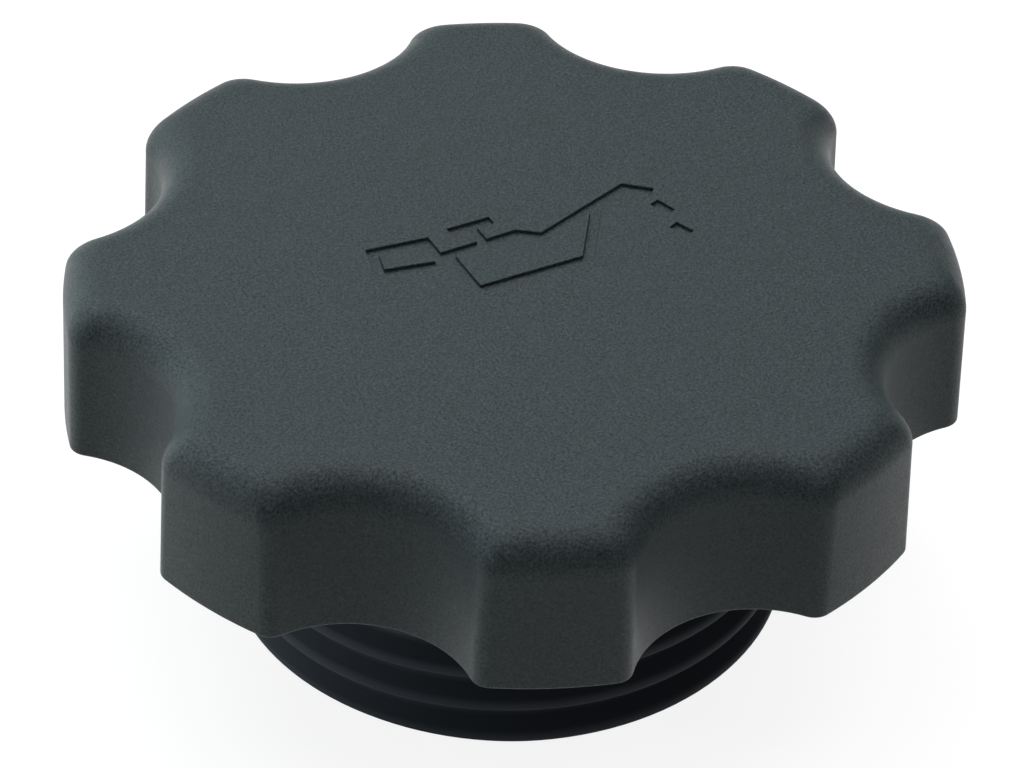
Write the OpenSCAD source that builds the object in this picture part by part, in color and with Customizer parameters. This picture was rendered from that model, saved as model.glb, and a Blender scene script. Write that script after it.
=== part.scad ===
// Oil filler cap: a lobed grip head and a hollow threaded plug moulded as one, with a rubber sealing
// ring under the head. The origin is on the axis, at the plug's bottom rim. +Z is up.

/* [Grip head] */
// Diameter over the lobes at the foot of the head
head_d = 66; // [62:0.5:80]
// Height of the head from its foot to its flat top
head_h = 12.6; // [9:0.2:20]
// Number of lobes, with a finger scallop between each pair
lobes = 8; // [6:1:9]
// Radius of a finger scallop
scallop_r = 9; // [7:0.2:9.6]
// Depth of a finger scallop, from the circle over the lobes to its floor
scallop_depth = 4.8; // [3:0.2:5.2]
// Rounding of the upright corners where a scallop meets a lobe
corner_r = 1.8; // [0.8:0.1:2.4]
// Rounding of the top edge
top_edge_r = 3.2; // [1:0.1:4]
// Chamfer of the lower edge
foot_chamfer = 0.3; // [0.2:0.1:1]
// Draft of the side wall in degrees, wider at the foot
draft = 0.9; // [0.2:0.1:3]

/* [Moulded walls] */
// Thickness of the top wall, over the hollows
top_wall = 3; // [2:0.1:4]
// Thickness of the skirt that follows the lobes and scallops
skirt_wall = 2.4; // [1.6:0.1:3]
// Width of the web behind each scallop, from the skirt to the sealing land
web_w = 5; // [3:0.2:7]
// Thickness of the rib behind each lobe
rib_t = 1.8; // [1:0.1:3]

/* [Threaded plug] */
// Length of the plug below the foot of the head
plug_l = 15.8; // [14:0.2:30]
// Outside diameter of the thread
thread_d = 42; // [40:0.5:44]
// Rise of the thread in one turn
thread_pitch = 3; // [2.5:0.1:4]
// Height of the thread from its root to its crest
thread_h = 1.5; // [0.8:0.1:1.8]
// Width of the flat on the thread's crest
crest_flat = 0.8; // [0.4:0.1:1]
// Width of the flat at the thread's root
root_flat = 0.7; // [0.4:0.1:1]
// Direction in degrees in which the crest runs out through the rim
thread_start = 174; // [0:1:359]
// Depth of the plain neck above the thread, below the thread's root
neck_relief = 0.3; // [0.2:0.1:0.8]
// Length of bare neck between the thread and the sealing ring
neck_l = 1.2; // [0.6:0.2:3]
// Thickness of the plug's wall, from the thread's root to the hollow inside
plug_wall = 3.2; // [2:0.1:4]
// Chamfer outside and inside the plug's rim
rim_chamfer = 0.3; // [0.2:0.1:0.8]

/* [Sealing ring] */
// Width of the rubber ring, from its hole to its outside
seal_w = 4.4; // [3:0.1:5]
// Thickness of the rubber ring
seal_t = 3; // [2:0.1:3.6]
// Chamfer on the rubber ring's edges
seal_chamfer = 0.4; // [0.2:0.1:0.8]
// Clearance between the ring's hole and the neck
seal_gap = 0.1; // [0.05:0.05:0.3]
// Width of the land left bare round the ring
land_margin = 0.4; // [0.2:0.1:0.8]
// How far the land stands below the foot of the head
land_drop = 0.4; // [0.2:0.1:1]

/* [Hidden] */

$fn = 96;
head_r = head_d / 2;
step = 360 / lobes;
foot_z = plug_l;
top_z = foot_z + head_h;
ceiling_z = top_z - top_wall;

// Axis of a scallop, and the height and inward lean of the drafted wall under the top rounding
scallop_c = head_r - scallop_depth + scallop_r;
wall_h = head_h - top_edge_r;
wall_in = wall_h * tan(draft);
// The centre of the top rounding lies this much high, on the lobes and in the scallops, so that the
// rounding breaks into the flat top at a slight angle
lobe_lift = 0.05;
scallop_lift = 0.08;
// A corner's rounding is drawn out by this much, so that it breaks into its two walls in the same way
corner_ease = 0.02;

thread_r = thread_d / 2;
root_r = thread_r - thread_h;
neck_r = root_r - neck_relief;
bore_r = root_r - plug_wall;
land_z = foot_z - land_drop;
seal_in_r = neck_r + seal_gap;
seal_out_r = seal_in_r + seal_w;
land_r = seal_out_r + land_margin;
thread_top = land_z - seal_t - neck_l;

// Points round one turn of the thread, and how far round its upper end takes to fade out
thread_steps = 48;
fade = 40;
flank = (thread_pitch - root_flat - crest_flat) / 2;
// Section of the thread from one turn to the next: height from the crest's middle, and depth filled
thread_section = [[-crest_flat / 2 - flank, 0], [-crest_flat / 2, 1], [crest_flat / 2, 1], [crest_flat / 2 + flank, 0]];
first_turn = -2;
last_turn = ceil(thread_top / thread_pitch) + 1;
fade_turn = (thread_top - crest_flat / 2 - flank) / thread_pitch;

module each_step() {
    for (k = [0 : lobes - 1]) rotate(k * step) children();
}

// Section of the head through a lobe
module lobe_section() {
    round_x = head_r - wall_in - top_edge_r;
    intersection() {
        union() {
            polygon([[0, 0], [head_r - foot_chamfer, 0], [head_r, foot_chamfer],
                     [head_r - wall_in, wall_h + lobe_lift], [0, wall_h + lobe_lift]]);
            translate([0, wall_h]) square([round_x, head_h]);
            translate([round_x, wall_h + lobe_lift]) circle(r = top_edge_r);
        }
        square([head_r + 1, head_h]);
    }
}

// Section of the cutter that makes a scallop: it flares below at the foot's chamfer and above at the
// top rounding
module scallop_section() {
    flare_x = scallop_r + wall_in + top_edge_r;
    flare_z = wall_h + scallop_lift;
    polygon([[0, -1], [scallop_r + foot_chamfer + 1, -1], [scallop_r, foot_chamfer],
             [scallop_r + wall_in, flare_z], [0, flare_z]]);
    difference() {
        translate([0, wall_h]) square([flare_x, head_h]);
        translate([flare_x, flare_z]) circle(r = top_edge_r);
    }
}

// Angle at the head's axis between a scallop's middle and the centre of its corner rounding
corner_c = head_r - corner_r;
corner_a = acos((corner_c ^ 2 + scallop_c ^ 2 - (scallop_r + corner_r) ^ 2) / (2 * corner_c * scallop_c));

// Cutter that rounds the upright corner on one side of a scallop
module corner_cutter() {
    c = corner_c * [cos(corner_a), sin(corner_a)];
    to_scallop = atan2(-c.y, scallop_c - c.x);
    reach = 4 * corner_r;
    module wedge() {
        polygon([[0, 0], for (a = [to_scallop, (to_scallop + corner_a) / 2, corner_a]) reach * [cos(a), sin(a)]]);
    }
    translate([c.x, c.y, -1])
        difference() {
            linear_extrude(head_h + 2) wedge();
            translate([0, 0, -1])
                cylinder(h = head_h + 4, r1 = corner_r + corner_ease + 2 * tan(draft),
                         r2 = corner_r + corner_ease - (head_h + 2) * tan(draft));
        }
}

// Lobed head, solid, with its foot at z = 0
module head_blank() {
    difference() {
        rotate_extrude() lobe_section();
        each_step() {
            translate([scallop_c, 0, 0]) rotate_extrude() scallop_section();
            corner_cutter();
            mirror([0, 1, 0]) corner_cutter();
        }
    }
}

// Two hollows in each lobe, between the skirt, the sealing land, a web and the lobe's rib
module lobe_hollows() {
    translate([0, 0, land_z - 1])
        linear_extrude(ceiling_z - land_z + 1)
            difference() {
                circle(r = head_r - skirt_wall);
                circle(r = land_r);
                each_step() {
                    translate([scallop_c, 0]) circle(r = scallop_r + skirt_wall);
                    translate([0, -web_w / 2]) square([head_r, web_w]);
                    rotate(step / 2) translate([0, -rib_t / 2]) square([head_r, rib_t]);
                }
            }
}

// Rod whose skin is the thread itself. Its rows of points follow the helix, four rows to a turn, and
// the end of a row joins the start of the row one turn up.
module threaded_rod() {
    n = thread_steps;
    rows = 4 * (last_turn - first_turn);
    points = [for (j = [0 : rows]) for (i = [0 : n - 1])
        let (turn = first_turn + floor(j / 4) + i / n,
             grow = max(0, min(1, (fade_turn - turn) * 360 / fade)),
             r = root_r + thread_h * grow * thread_section[j % 4][1],
             a = thread_start + 360 * i / n)
        [r * cos(a), r * sin(a), turn * thread_pitch + thread_section[j % 4][0]]];
    function at(i, j) = i < n ? j * n + i : (j + 4) * n + i - n;
    sides = [for (j = [0 : rows - 1]) for (i = [0 : n - 1]) if (i < n - 1 || j + 5 <= rows)
        each [[at(i, j), at(i, j + 1), at(i + 1, j)], [at(i + 1, j), at(i, j + 1), at(i + 1, j + 1)]]];
    low = concat([for (i = [0 : n]) at(i, 0)], [for (j = [3 : -1 : 1]) at(0, j)]);
    high = concat([for (i = [0 : n - 1]) at(i, rows)], [for (j = [1 : 4]) at(n - 1, rows - j)]);
    ends = [for (i = [0 : len(low) - 1]) let (k = (i + 1) % len(low))
        each [[low[i], low[k], len(points)], [high[k], high[i], len(points) + 1]]];
    middles = [[0, 0, points[0].z], [0, 0, points[len(points) - 1].z]];
    polyhedron(concat(points, middles), concat(sides, ends));
}

// Stretch of the rod from the rim to the neck, with the rim's outer edge broken
module plug_thread() {
    outer = thread_r + 1;
    intersection() {
        threaded_rod();
        rotate_extrude()
            polygon([[0, 0], [thread_r - rim_chamfer, 0], [outer, outer - thread_r + rim_chamfer],
                     [outer, thread_top], [0, thread_top]]);
    }
}

// Hollow of the plug, open below, with its mouth chamfered
module plug_hollow() {
    rotate_extrude()
        polygon([[0, -1], [bore_r + rim_chamfer + 1, -1], [bore_r, rim_chamfer], [bore_r, ceiling_z], [0, ceiling_z]]);
}

module cap_body() {
    color([0.2, 0.22, 0.22])
        difference() {
            union() {
                translate([0, 0, foot_z]) head_blank();
                translate([0, 0, land_z]) cylinder(h = land_drop + 1, r = land_r);
                translate([0, 0, thread_top / 2]) cylinder(h = foot_z + 1 - thread_top / 2, r = neck_r);
                plug_thread();
            }
            lobe_hollows();
            plug_hollow();
        }
}

// Flat rubber ring round the plug's neck, seated on the land
module sealing_ring() {
    c = seal_chamfer;
    color([0.08, 0.08, 0.08])
        translate([0, 0, land_z - seal_t])
            rotate_extrude()
                polygon([[seal_in_r + c, 0], [seal_out_r - c, 0], [seal_out_r, c], [seal_out_r, seal_t - c],
                         [seal_out_r - c, seal_t], [seal_in_r + c, seal_t], [seal_in_r, seal_t - c], [seal_in_r, c]]);
}

cap_body();
sealing_ring();
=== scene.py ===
from math import acos, asin, atan2, cos, pi, radians, sin, sqrt, tan
import bmesh
import bpy
from mathutils import Matrix, Vector


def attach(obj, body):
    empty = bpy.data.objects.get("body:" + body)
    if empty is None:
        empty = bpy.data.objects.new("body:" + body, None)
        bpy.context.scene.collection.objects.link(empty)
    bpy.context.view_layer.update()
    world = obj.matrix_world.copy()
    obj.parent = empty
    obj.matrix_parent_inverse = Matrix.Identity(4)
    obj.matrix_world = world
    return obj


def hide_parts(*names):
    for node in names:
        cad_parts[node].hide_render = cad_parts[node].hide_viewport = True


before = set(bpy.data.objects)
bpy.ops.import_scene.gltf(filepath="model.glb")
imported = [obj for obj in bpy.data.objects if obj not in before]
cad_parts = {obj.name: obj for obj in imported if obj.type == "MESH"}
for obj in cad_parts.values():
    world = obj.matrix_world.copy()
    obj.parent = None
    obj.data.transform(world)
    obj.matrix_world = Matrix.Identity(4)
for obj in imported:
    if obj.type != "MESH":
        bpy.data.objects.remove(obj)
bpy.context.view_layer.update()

# The view. A long lens looks down on the cap from 0.36 m away, from the front left of its sign, and the
# camera is tipped and rolled a little, as it was held.
MM = 0.001
VIEW_CENTRE = Vector((0, 0, 22.2 * MM))
VIEW_AZIMUTH = radians(-118.81)
VIEW_ELEVATION = radians(37.09)
VIEW_DISTANCE = 358.9 * MM
VIEW_TIP = radians(-0.676)
VIEW_ROLL = radians(2.06)
LENS = 172.2
FILM_W = 36

camera = bpy.data.objects.new("camera", bpy.data.cameras.new("camera"))
camera.data.lens = LENS
camera.data.sensor_width = FILM_W
camera.data.clip_start = 0.01
camera.data.clip_end = 20
from_centre = Vector((cos(VIEW_AZIMUTH) * cos(VIEW_ELEVATION), sin(VIEW_AZIMUTH) * cos(VIEW_ELEVATION),
                      sin(VIEW_ELEVATION)))
level = (-from_centre).to_track_quat("-Z", "Y").to_matrix()
held = level @ Matrix.Rotation(VIEW_TIP, 3, "X") @ Matrix.Rotation(VIEW_ROLL, 3, "Z")
camera.matrix_world = Matrix.Translation(VIEW_CENTRE + VIEW_DISTANCE * from_centre) @ held.to_4x4()
bpy.context.scene.collection.objects.link(camera)
bpy.context.scene.camera = camera
bpy.context.scene.view_settings.view_transform = "Standard"

# The table and the lamps. The cap stands on white paper under a wide overhead softbox that hangs a little
# behind it. A smaller box stands behind it on the left. A low strip at the left and a faint one in front
# light the side walls.
ROOM_COLOUR = (0.9, 0.95, 1.0, 1)
ROOM_LIGHT = 0.08
PAPER_GREY = (0.2, 0.2, 0.2, 1)
PAPER_GLOW = 0.88
PAPER_REACH = 3
LEFT_OF_VIEW = VIEW_AZIMUTH - pi / 2
BEHIND = VIEW_AZIMUTH + pi


def object_from(bm, name):
    """Closes a bmesh into an object of its own, with its faces outwards."""
    bmesh.ops.recalc_face_normals(bm, faces=bm.faces)
    mesh = bpy.data.meshes.new(name)
    bm.to_mesh(mesh)
    bm.free()
    made = bpy.data.objects.new(name, mesh)
    bpy.context.scene.collection.objects.link(made)
    return made


def softbox(name, azimuth, height, distance, size, power, colour):
    """Hangs a rectangular lamp at an azimuth and height round the cap, turned towards it."""
    lamp = bpy.data.objects.new(name, bpy.data.lights.new(name, "AREA"))
    lamp.data.shape = "RECTANGLE"
    lamp.data.size, lamp.data.size_y = size
    lamp.data.energy = power
    lamp.data.color = colour
    place = Vector((distance * cos(azimuth), distance * sin(azimuth), height))
    aim = VIEW_CENTRE - place
    lamp.matrix_world = Matrix.Translation(place) @ aim.to_track_quat("-Z", "Y").to_matrix().to_4x4()
    bpy.context.scene.collection.objects.link(lamp)


softbox("overhead", BEHIND, height=0.58, distance=0.18, size=(0.9, 1.0), power=5.1,
        colour=(0.99, 1.0, 1.0))
softbox("back left box", BEHIND + radians(38), height=0.38, distance=0.48, size=(0.45, 0.36), power=1.4,
        colour=(0.82, 0.92, 1.0))
softbox("left strip", LEFT_OF_VIEW - radians(12), height=0.035, distance=0.42, size=(0.5, 0.06), power=1.0,
        colour=(0.84, 0.97, 1.0))
softbox("front strip", VIEW_AZIMUTH, height=0.13, distance=0.50, size=(0.9, 0.12), power=0.10,
        colour=(0.92, 1.0, 1.0))

room = bpy.data.worlds.new("room")
room.use_nodes = True
room.node_tree.nodes["Background"].inputs["Color"].default_value = ROOM_COLOUR
room.node_tree.nodes["Background"].inputs["Strength"].default_value = ROOM_LIGHT
bpy.context.scene.world = room


def reckoned(material, how, first, second):
    """Adds a maths node for two values, each a socket or a number, and returns the socket of its result."""
    maths = material.node_tree.nodes.new("ShaderNodeMath")
    maths.operation = how
    for value, socket in zip((first, second), maths.inputs):
        if isinstance(value, bpy.types.NodeSocket):
            material.node_tree.links.new(value, socket)
        else:
            socket.default_value = value
    return maths.outputs["Value"]


paper = bpy.data.materials.new("white paper")
paper.use_nodes = True
nodes, links = paper.node_tree.nodes, paper.node_tree.links
nodes.clear()
ray = nodes.new("ShaderNodeLightPath")
seen = reckoned(paper, "MAXIMUM", ray.outputs["Is Camera Ray"], ray.outputs["Is Glossy Ray"])
seen_or_through = reckoned(paper, "MAXIMUM", seen, ray.outputs["Is Transmission Ray"])
glow = nodes.new("ShaderNodeEmission")
links.new(reckoned(paper, "MULTIPLY", seen_or_through, PAPER_GLOW), glow.inputs["Strength"])
sheet = nodes.new("ShaderNodeBsdfDiffuse")
sheet.inputs["Color"].default_value = PAPER_GREY
both = nodes.new("ShaderNodeAddShader")
links.new(sheet.outputs[0], both.inputs[0])
links.new(glow.outputs[0], both.inputs[1])
out = nodes.new("ShaderNodeOutputMaterial")
links.new(both.outputs[0], out.inputs["Surface"])

bm = bmesh.new()
bmesh.ops.create_grid(bm, x_segments=1, y_segments=1, size=PAPER_REACH)
floor = object_from(bm, "floor")
floor.data.materials.append(paper)

# The cap body: one moulding in dark grey glass-filled nylon. The grip head has the fine sand grain of its
# mould and eight lobes with finger scallops between them, and it is hollow behind each lobe. The plug is a
# plain tube with an outside thread, open below.
LOBES = 8
HEAD_R = 33 * MM
HEAD_H = 12.5 * MM
SCALLOP_R = 9 * MM
SCALLOP_DEPTH = 4.8 * MM
FOOT_CORNER_R = 1.4 * MM
WALL_CORNER_R = 1.8 * MM
TOP_CORNER_R = 2.6 * MM
TOP_EDGE_R = 2.8 * MM
FOOT_EDGE_R = 0.2 * MM
EDGE_MARGIN = 0.3 * MM
DRAFT = radians(0.9)
PLUG_L = 15.8 * MM
STEP = 2 * pi / LOBES
SCALLOP_C = HEAD_R - SCALLOP_DEPTH + SCALLOP_R
TOP_Z = PLUG_L + HEAD_H
UP = Vector((0, 0, 1))
MICRON = MM / 1000


def swept(bm, point, centre, angle, steps):
    """Sweeps a vertex about an upright axis at centre and returns the last vertex of the arc."""
    turned = bmesh.ops.spin(bm, geom=[point], cent=centre, axis=UP, angle=angle, steps=steps)
    return turned["geom_last"][0]


def ends_of(edges):
    """Lists the vertices of some edges, each of them once."""
    return list(dict.fromkeys(v for e in edges for v in e.verts))


def lobed_ring(bm, inset, z, corner):
    """Draws the head's outline at a height, drawn in by inset, and returns its edges."""
    before = set(bm.edges)
    crest, scallop = HEAD_R - inset, SCALLOP_R + inset
    reach = crest - corner
    corner_at = acos((reach ** 2 + SCALLOP_C ** 2 - (scallop + corner) ** 2) / (2 * reach * SCALLOP_C))
    corner_c = Vector((reach * cos(corner_at), reach * sin(corner_at), z))
    to_scallop = atan2(-corner_c.y, SCALLOP_C - corner_c.x)
    point = bm.verts.new((SCALLOP_C - scallop, 0, z))
    point = swept(bm, point, Vector((SCALLOP_C, 0, z)), to_scallop, steps=14)
    point = swept(bm, point, corner_c, corner_at - to_scallop, steps=10)
    swept(bm, point, Vector((0, 0, z)), STEP / 2 - corner_at, steps=5)
    half = [e for e in bm.edges if e not in before]
    bmesh.ops.mirror(bm, geom=ends_of(half) + half, axis="Y", merge_dist=MICRON)
    lobe = [e for e in bm.edges if e not in before]
    bmesh.ops.spin(bm, geom=ends_of(lobe) + lobe, cent=(0, 0, 0), axis=UP, angle=2 * pi - STEP,
                   steps=LOBES - 1, use_duplicate=True)
    ring = [e for e in bm.edges if e not in before]
    bmesh.ops.remove_doubles(bm, verts=ends_of(ring), dist=MICRON)
    return [e for e in bm.edges if e not in before]


def quarter_turn(steps):
    """Angles from 0 to 90 degrees, in even steps."""
    return [radians(90 * i / steps) for i in range(steps + 1)]


# Outlines from the foot up, as (drawn in by, height, corner rounding). A ring close to each rounding keeps
# the walls and the two flats even.
wall_h = HEAD_H - TOP_EDGE_R
wall_in = wall_h * tan(DRAFT)
outlines = []
for turn in quarter_turn(5):
    outlines.append((FOOT_EDGE_R * (1 - sin(turn)), PLUG_L + FOOT_EDGE_R * (1 - cos(turn)), FOOT_CORNER_R))
outlines.append((FOOT_EDGE_R * tan(DRAFT), PLUG_L + 2 * FOOT_EDGE_R, FOOT_CORNER_R))
outlines.append((wall_in, PLUG_L + wall_h - EDGE_MARGIN, WALL_CORNER_R))
for turn in quarter_turn(18):
    outlines.append((wall_in + TOP_EDGE_R * (1 - cos(turn)), PLUG_L + wall_h + TOP_EDGE_R * sin(turn),
                     WALL_CORNER_R + (TOP_CORNER_R - WALL_CORNER_R) * sin(turn)))

bm = bmesh.new()
rings = [lobed_ring(bm, inset, z, corner) for inset, z, corner in outlines]
for low, high in zip(rings, rings[1:]):
    bmesh.ops.bridge_loops(bm, edges=low + high)
for ring in (rings[0], rings[-1]):
    flat = bmesh.ops.edgeloop_fill(bm, edges=ring)["faces"]
    bmesh.ops.inset_individual(bm, faces=flat, thickness=EDGE_MARGIN, use_even_offset=True)
cap = object_from(bm, "cap")


def combined(piece, tool, how):
    """Joins a solid to the piece or cuts it out, and uses the solid up."""
    step = piece.modifiers.new(how, "BOOLEAN")
    step.operation = how
    step.solver = "EXACT"
    step.object = tool
    seen = piece.evaluated_get(bpy.context.evaluated_depsgraph_get())
    mesh = bpy.data.meshes.new_from_object(seen)
    piece.modifiers.clear()
    piece.data = mesh
    bpy.data.objects.remove(tool)


# The sign for engine oil on the top, a can with a spout and two drops, sunk as plain strokes. Each walk, in
# mm, keeps to the middles of the strokes, with the plain surface beyond them on its left.
STROKE_W = 0.85 * MM
STROKE_DEPTH = 0.26 * MM
STROKE_DRAFT = 0.03 * MM
LIP_R = 0.03 * MM
ROUND_THE_SIGN = [(-9.08, 5.24), (-5.0, 4.78), (-5.0, 2.65), (-1.2, 2.75), (-1.2, 5.1), (-2.9, 5.1),
                  (0.6, 5.1), (-1.2, 5.1), (-1.2, 2.75), (1.5, 2.85), (3.1, 1.7), (11.35, 4.6),
                  (13.05, 3.2), (11.35, 4.6), (8.6, 3.63), (4.8, -2.1), (-4.2, -2.1), (-4.2, 1.65),
                  (-9.7, 2.66)]
IN_THE_HANDLE = [(-9.7, 2.66), (-5.0, 1.8), (-5.0, 4.78), (-9.08, 5.24)]
IN_THE_CAN = [(-4.2, -2.1), (4.8, -2.1), (8.6, 3.63), (3.1, 1.7), (1.5, 2.85), (-4.2, 2.67)]
UPPER_DROP = [(12.5, 2.0), (13.05, 0.35)]
LOWER_DROP = [(12.4, -1.1), (13.0, -2.6)]


def groove_edge(bm, walk, half_w, z):
    """Draws a groove's edge, half a stroke to the left of a walk. Strokes end square."""
    corners = []
    for before, here, after in zip(walk[-1:] + walk[:-1], walk, walk[1:] + walk[:1]):
        left = [Vector((-run.y, run.x)).normalized() for run in (here - before, after - here)]
        turns_back = left[0].dot(left[1]) < -0.999
        shifts = left if turns_back else [(left[0] + left[1]) / (1 + left[0].dot(left[1]))]
        corners += [here + half_w * shift for shift in shifts]
    points = [bm.verts.new((c.x, c.y, z)) for c in corners]
    return [bm.edges.new(pair) for pair in zip(points, points[1:] + points[:1])]


bm = bmesh.new()
floor_edges, top_edges = [], []
for walk in (ROUND_THE_SIGN, IN_THE_HANDLE, IN_THE_CAN, UPPER_DROP, LOWER_DROP):
    walk = [MM * Vector(corner) for corner in walk]
    sunk = groove_edge(bm, walk, STROKE_W / 2 - STROKE_DRAFT, TOP_Z - STROKE_DEPTH)
    lip = groove_edge(bm, walk, STROKE_W / 2, TOP_Z - LIP_R)
    clear = groove_edge(bm, walk, STROKE_W / 2 + 2 * LIP_R, TOP_Z + LIP_R)
    bmesh.ops.bridge_loops(bm, edges=sunk + lip)
    bmesh.ops.bridge_loops(bm, edges=lip + clear)
    floor_edges += sunk
    top_edges += clear
bmesh.ops.triangle_fill(bm, use_beauty=True, edges=floor_edges, normal=-UP)
bmesh.ops.triangle_fill(bm, use_beauty=True, edges=top_edges, normal=UP)
combined(cap, object_from(bm, "sign"), "DIFFERENCE")

# Two hollows behind each lobe, beside its rib, from the skirt to the sealing land. One is drawn from the web
# round to the rib, then mirrored and repeated round the head.
TOP_WALL = 3 * MM
SKIRT_WALL = 2.4 * MM
WEB_W = 5 * MM
RIB_T = 1.8 * MM
LAND_R = 24.1 * MM
HOLLOW_CORNER_R = 0.6 * MM
CEILING_Z = TOP_Z - TOP_WALL
OVERLAP = 1 * MM

skirt_r = HEAD_R - SKIRT_WALL
scallop_skin = SCALLOP_R + SKIRT_WALL
mouth_z = PLUG_L - OVERLAP
web_end = Vector((sqrt(LAND_R ** 2 - (WEB_W / 2) ** 2), WEB_W / 2, mouth_z))
web_out = Vector((SCALLOP_C - sqrt(scallop_skin ** 2 - (WEB_W / 2) ** 2), WEB_W / 2, mouth_z))
skirt_at = acos((skirt_r ** 2 + SCALLOP_C ** 2 - scallop_skin ** 2) / (2 * skirt_r * SCALLOP_C))
rib_out_at = STEP / 2 - asin(RIB_T / 2 / skirt_r)
rib_end_at = STEP / 2 - asin(RIB_T / 2 / LAND_R)
skirt_corner = Vector((skirt_r * cos(skirt_at), skirt_r * sin(skirt_at), mouth_z))
web_turn = atan2(-web_out.y, SCALLOP_C - web_out.x)
skirt_turn = atan2(-skirt_corner.y, SCALLOP_C - skirt_corner.x)

bm = bmesh.new()
first = bm.verts.new(web_end)
second = bm.verts.new(web_out)
bm.edges.new((first, second))
third = swept(bm, second, Vector((SCALLOP_C, 0, mouth_z)), skirt_turn - web_turn, steps=8)
fourth = swept(bm, third, Vector((0, 0, mouth_z)), rib_out_at - skirt_at, steps=4)
fifth = bm.verts.new((LAND_R * cos(rib_end_at), LAND_R * sin(rib_end_at), mouth_z))
bm.edges.new((fourth, fifth))
last = swept(bm, fifth, Vector((0, 0, mouth_z)), asin(WEB_W / 2 / LAND_R) - rib_end_at, steps=6)
bmesh.ops.pointmerge(bm, verts=[first, last], merge_co=web_end)
bmesh.ops.edgeloop_fill(bm, edges=bm.edges)
bmesh.ops.bevel(bm, geom=[first, second, third, fourth, fifth], affect="VERTICES", offset=HOLLOW_CORNER_R,
                segments=3, profile=0.5, material=-1)
raised = bmesh.ops.extrude_face_region(bm, geom=bm.faces)["geom"]
bmesh.ops.translate(bm, verts=[v for v in raised if isinstance(v, bmesh.types.BMVert)],
                    vec=(0, 0, CEILING_Z - mouth_z))
bmesh.ops.mirror(bm, geom=bm.verts[:] + bm.edges[:] + bm.faces[:], axis="Y", merge_dist=0)
bmesh.ops.spin(bm, geom=bm.verts[:] + bm.edges[:] + bm.faces[:], cent=(0, 0, 0), axis=UP,
               angle=2 * pi - STEP, steps=LOBES - 1, use_duplicate=True)
combined(cap, object_from(bm, "lobe hollows"), "DIFFERENCE")

# The plug's thread, a single start of M42x3 that runs out through the rim and fades out below the neck. A
# section of several turns is swept once round the axis and rises by one turn, so that it joins up with
# itself as a rod. A plain blank then cuts the rod to length, and the neck and the land are turned above it.
THREAD_R = 21 * MM
THREAD_H = 1.5 * MM
THREAD_PITCH = 3 * MM
THREAD_TOP = 11.2 * MM
THREAD_START = radians(174)
CREST_FLAT = 0.8 * MM
ROOT_FLAT = 0.7 * MM
THREAD_EDGE_R = 0.26 * MM
THREAD_TURNS = range(-2, 5)
THREAD_STEPS = 120
THREAD_FADE = 40 / 360
NECK_R = 19.2 * MM
RIM_CHAMFER = 0.3 * MM
LAND_Z = PLUG_L - 0.4 * MM
LAND_CHAMFER = 0.15 * MM

root_r = THREAD_R - THREAD_H
half_ridge = (THREAD_PITCH - ROOT_FLAT) / 2
ridge = [(root_r, -half_ridge), (THREAD_R, -CREST_FLAT / 2),
         (THREAD_R, CREST_FLAT / 2), (root_r, half_ridge)]
bm = bmesh.new()
points = [bm.verts.new((r * cos(THREAD_START), r * sin(THREAD_START), turn * THREAD_PITCH + rise))
          for turn in THREAD_TURNS for r, rise in ridge]
for pair in zip(points, points[1:]):
    bm.edges.new(pair)
bmesh.ops.bevel(bm, geom=points[1:-1], affect="VERTICES", offset=THREAD_EDGE_R, segments=3, profile=0.5,
                material=-1)
bmesh.ops.spin(bm, geom=bm.verts[:] + bm.edges[:], cent=(0, 0, 0), axis=UP, angle=2 * pi,
               steps=THREAD_STEPS, dvec=(0, 0, THREAD_PITCH / THREAD_STEPS))
bmesh.ops.remove_doubles(bm, verts=bm.verts, dist=MICRON)

# At the top of the plug the ridge sinks into its root, over the last part of a turn.
fade_turn = (THREAD_TOP - half_ridge) / THREAD_PITCH
for v in bm.verts:
    r = v.co.xy.length
    part = (atan2(v.co.y, v.co.x) - THREAD_START) % (2 * pi) / (2 * pi)
    turn = part + round(v.co.z / THREAD_PITCH - part)
    grown = max(0, min(1, (fade_turn - turn) / THREAD_FADE))
    v.co.xy *= (root_r + (r - root_r) * grown) / r
bmesh.ops.holes_fill(bm, edges=[e for e in bm.edges if e.is_boundary], sides=0)
plug = object_from(bm, "plug")


def lathe(name, profile):
    """Turns a profile of (radius, height) points about the cap's axis into a closed solid."""
    bm = bmesh.new()
    points = [bm.verts.new((r, 0, z)) for r, z in profile]
    line = [bm.edges.new(pair) for pair in zip(points, points[1:])]
    bmesh.ops.spin(bm, geom=points + line, cent=(0, 0, 0), axis=UP, angle=2 * pi, steps=128, use_merge=True)
    bmesh.ops.remove_doubles(bm, verts=bm.verts, dist=MICRON)
    return object_from(bm, name)


outer = THREAD_R + OVERLAP
combined(plug, lathe("thread blank", [
    (0, 0), (THREAD_R - RIM_CHAMFER, 0), (outer, outer - THREAD_R + RIM_CHAMFER),
    (outer, THREAD_TOP), (0, THREAD_TOP)]), "INTERSECT")
combined(plug, lathe("neck and land", [
    (0, THREAD_TOP - OVERLAP), (NECK_R, THREAD_TOP - OVERLAP), (NECK_R, LAND_Z),
    (LAND_R - LAND_CHAMFER, LAND_Z), (LAND_R, LAND_Z + LAND_CHAMFER),
    (LAND_R, PLUG_L + OVERLAP), (0, PLUG_L + OVERLAP)]), "UNION")
combined(cap, plug, "UNION")

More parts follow.
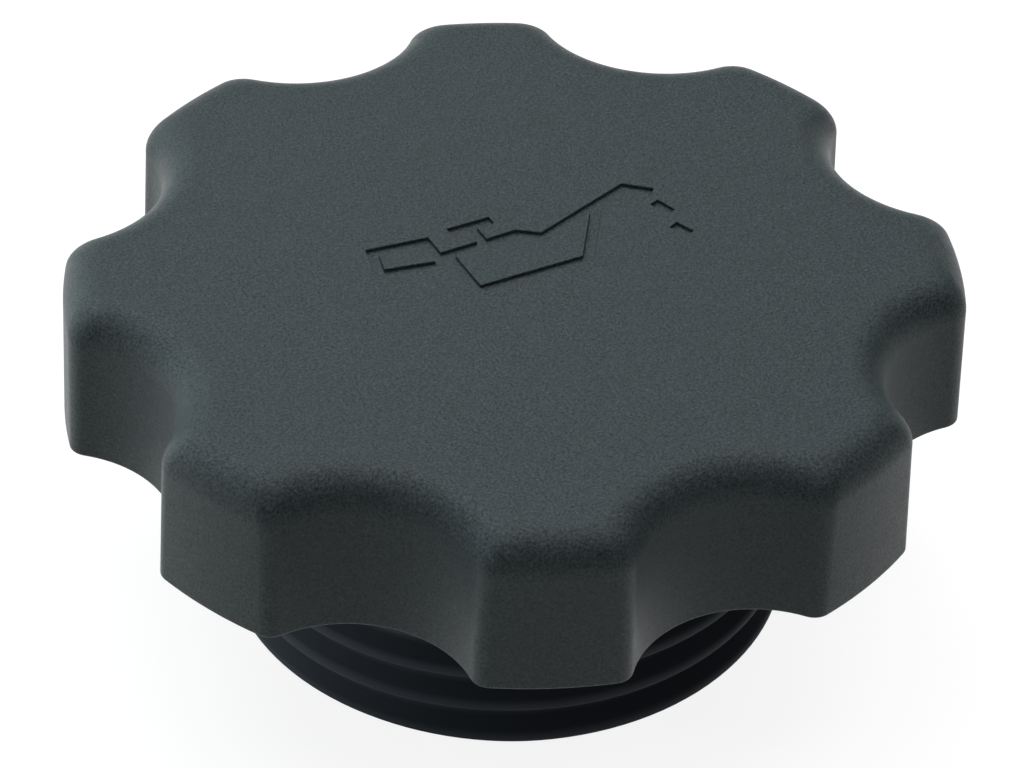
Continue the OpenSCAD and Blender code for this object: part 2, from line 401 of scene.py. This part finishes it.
# The plug's hollow, with a chamfered mouth and a rounded bottom.
PLUG_WALL = 3.2 * MM
BORE_END_R = 1 * MM
bore_r = root_r - PLUG_WALL
bore = [(0, -OVERLAP), (bore_r + RIM_CHAMFER + OVERLAP, -OVERLAP), (bore_r, RIM_CHAMFER)]
for turn in quarter_turn(6):
    bore.append((bore_r - BORE_END_R * (1 - cos(turn)), CEILING_Z - BORE_END_R * (1 - sin(turn))))
bore.append((0, CEILING_Z))
combined(cap, lathe("bore", bore), "DIFFERENCE")

cap.data.shade_smooth()
cap.data.set_sharp_from_angle(angle=radians(24))

# The nylon. The head's grain is noise that darkens the plastic between its grains, with a few pale flecks of
# glass, and raises a fine bump. The plug is ungrained and duller. Its colour is lifted above the head's
# average tone as painted fill light for the shade under the head.
PLASTIC_DARK = (0.002, 0.005, 0.006, 1)
PLASTIC_LIGHT = (0.060, 0.084, 0.086, 1)
PLASTIC_FLECK = (0.170, 0.215, 0.220, 1)
# Painted light: the plug's colour is lifted above the head's average tone, a painted fill for the shade
# under the head.
PLUG_PLASTIC_WITH_PAINTED_FILL = (0.049, 0.055, 0.066, 1)
PLASTIC_GLOSS = 0.2
GRAINS_PER_M = 5200
GRAIN_DEPTH = 0.07 * MM
HEAD_ROUGHNESS = (0.30, 0.42)
PLUG_ROUGHNESS = 0.72
PAST_LAND = 0.1 * MM
PAST_CEILING = 0.5 * MM

nylon = bpy.data.materials.new("grained nylon")
nylon.use_nodes = True
nodes, links = nylon.node_tree.nodes, nylon.node_tree.links
plastic = nodes["Principled BSDF"]
plastic.inputs["Specular IOR Level"].default_value = PLASTIC_GLOSS
place = nodes.new("ShaderNodeTexCoord")


def speckle(place, per_metre, detail, roughness):
    """Adds noise with this many grains to the metre, on the coordinates of a place node."""
    noise = place.id_data.nodes.new("ShaderNodeTexNoise")
    noise.inputs["Scale"].default_value = per_metre
    noise.inputs["Detail"].default_value = detail
    noise.inputs["Roughness"].default_value = roughness
    place.id_data.links.new(place.outputs["Object"], noise.inputs["Vector"])
    return noise.outputs["Fac"]


grain = speckle(place, GRAINS_PER_M, detail=5, roughness=0.75)
ramp = nodes.new("ShaderNodeValToRGB")
ramp.color_ramp.elements[0].position = 0.34
ramp.color_ramp.elements[0].color = PLASTIC_DARK
ramp.color_ramp.elements[1].position = 0.66
ramp.color_ramp.elements[1].color = PLASTIC_LIGHT
ramp.color_ramp.elements.new(0.74).color = PLASTIC_FLECK
links.new(grain, ramp.inputs["Fac"])

# Only the head is grained: all that lies outside the sealing land, and the top above the hollows. The plug
# within them takes its plain colour, lifted as painted fill light.
level = nodes.new("ShaderNodeVectorMath")
level.operation = "MULTIPLY"
level.inputs[1].default_value = (1, 1, 0)
links.new(place.outputs["Object"], level.inputs[0])
radius = nodes.new("ShaderNodeVectorMath")
radius.operation = "LENGTH"
links.new(level.outputs["Vector"], radius.inputs[0])
height = nodes.new("ShaderNodeSeparateXYZ")
links.new(place.outputs["Object"], height.inputs["Vector"])
outside_land = reckoned(nylon, "GREATER_THAN", radius.outputs["Value"], LAND_R + PAST_LAND)
above_hollows = reckoned(nylon, "GREATER_THAN", height.outputs["Z"], CEILING_Z + PAST_CEILING)
on_head = reckoned(nylon, "MAXIMUM", outside_land, above_hollows)

# Painted light: on the plug this mix gives the plug colour, lifted as a painted fill for the shade under the
# head.
shade = nodes.new("ShaderNodeMix")
shade.data_type = "RGBA"
shade.inputs["A"].default_value = PLUG_PLASTIC_WITH_PAINTED_FILL
links.new(on_head, shade.inputs["Factor"])
links.new(ramp.outputs["Color"], shade.inputs["B"])
links.new(shade.outputs["Result"], plastic.inputs["Base Color"])
matt = nodes.new("ShaderNodeMapRange")
matt.inputs["To Min"].default_value, matt.inputs["To Max"].default_value = HEAD_ROUGHNESS
links.new(speckle(place, 900, detail=2, roughness=0.5), matt.inputs["Value"])
finish = nodes.new("ShaderNodeMix")
finish.inputs["A"].default_value = PLUG_ROUGHNESS
links.new(on_head, finish.inputs["Factor"])
links.new(matt.outputs["Result"], finish.inputs["B"])
links.new(finish.outputs["Result"], plastic.inputs["Roughness"])
sand = nodes.new("ShaderNodeBump")
sand.inputs["Distance"].default_value = GRAIN_DEPTH
links.new(on_head, sand.inputs["Strength"])
links.new(grain, sand.inputs["Height"])
links.new(sand.outputs["Normal"], plastic.inputs["Normal"])
cap.data.materials.clear()
cap.data.materials.append(nylon)
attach(cap, "root")
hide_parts("cap_body")

# The sealing ring: a flat ring of black nitrile rubber that is stretched over the thread and sits in the
# plug's neck, against the land under the head. Its edges are rounded by the mould.
SEAL_IN_R = NECK_R + 0.1 * MM
SEAL_W = 4.4 * MM
SEAL_T = 3 * MM
SEAL_EDGE_R = 0.4 * MM
RUBBER_DARK = (0.010, 0.010, 0.010, 1)
RUBBER_BLOOM = (0.022, 0.022, 0.023, 1)
RUBBER_GLOSS = 0.2
RUBBER_ROUGHNESS = (0.42, 0.62)

seal_out_r = SEAL_IN_R + SEAL_W
section = []
for centre_r, centre_z, start in ((SEAL_IN_R + SEAL_EDGE_R, LAND_Z - SEAL_T + SEAL_EDGE_R, 180),
                                  (seal_out_r - SEAL_EDGE_R, LAND_Z - SEAL_T + SEAL_EDGE_R, 270),
                                  (seal_out_r - SEAL_EDGE_R, LAND_Z - SEAL_EDGE_R, 0),
                                  (SEAL_IN_R + SEAL_EDGE_R, LAND_Z - SEAL_EDGE_R, 90)):
    for turn in quarter_turn(5):
        angle = radians(start) + turn
        section.append((centre_r + SEAL_EDGE_R * cos(angle), centre_z + SEAL_EDGE_R * sin(angle)))
section.append(section[0])
seal = lathe("seal", section)
seal.data.shade_smooth()
seal.data.set_sharp_from_angle(angle=radians(40))

nitrile = bpy.data.materials.new("nitrile rubber")
nitrile.use_nodes = True
nodes, links = nitrile.node_tree.nodes, nitrile.node_tree.links
rubber = nodes["Principled BSDF"]
rubber.inputs["Specular IOR Level"].default_value = RUBBER_GLOSS
place = nodes.new("ShaderNodeTexCoord")
bloom = nodes.new("ShaderNodeValToRGB")
bloom.color_ramp.elements[0].color = RUBBER_DARK
bloom.color_ramp.elements[1].color = RUBBER_BLOOM
links.new(speckle(place, 420, detail=4, roughness=0.6), bloom.inputs["Fac"])
links.new(bloom.outputs["Color"], rubber.inputs["Base Color"])
dull = nodes.new("ShaderNodeMapRange")
dull.inputs["To Min"].default_value, dull.inputs["To Max"].default_value = RUBBER_ROUGHNESS
links.new(speckle(place, 1500, detail=2, roughness=0.5), dull.inputs["Value"])
links.new(dull.outputs["Result"], rubber.inputs["Roughness"])
seal.data.materials.append(nitrile)
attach(seal, "root")
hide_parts("sealing_ring")
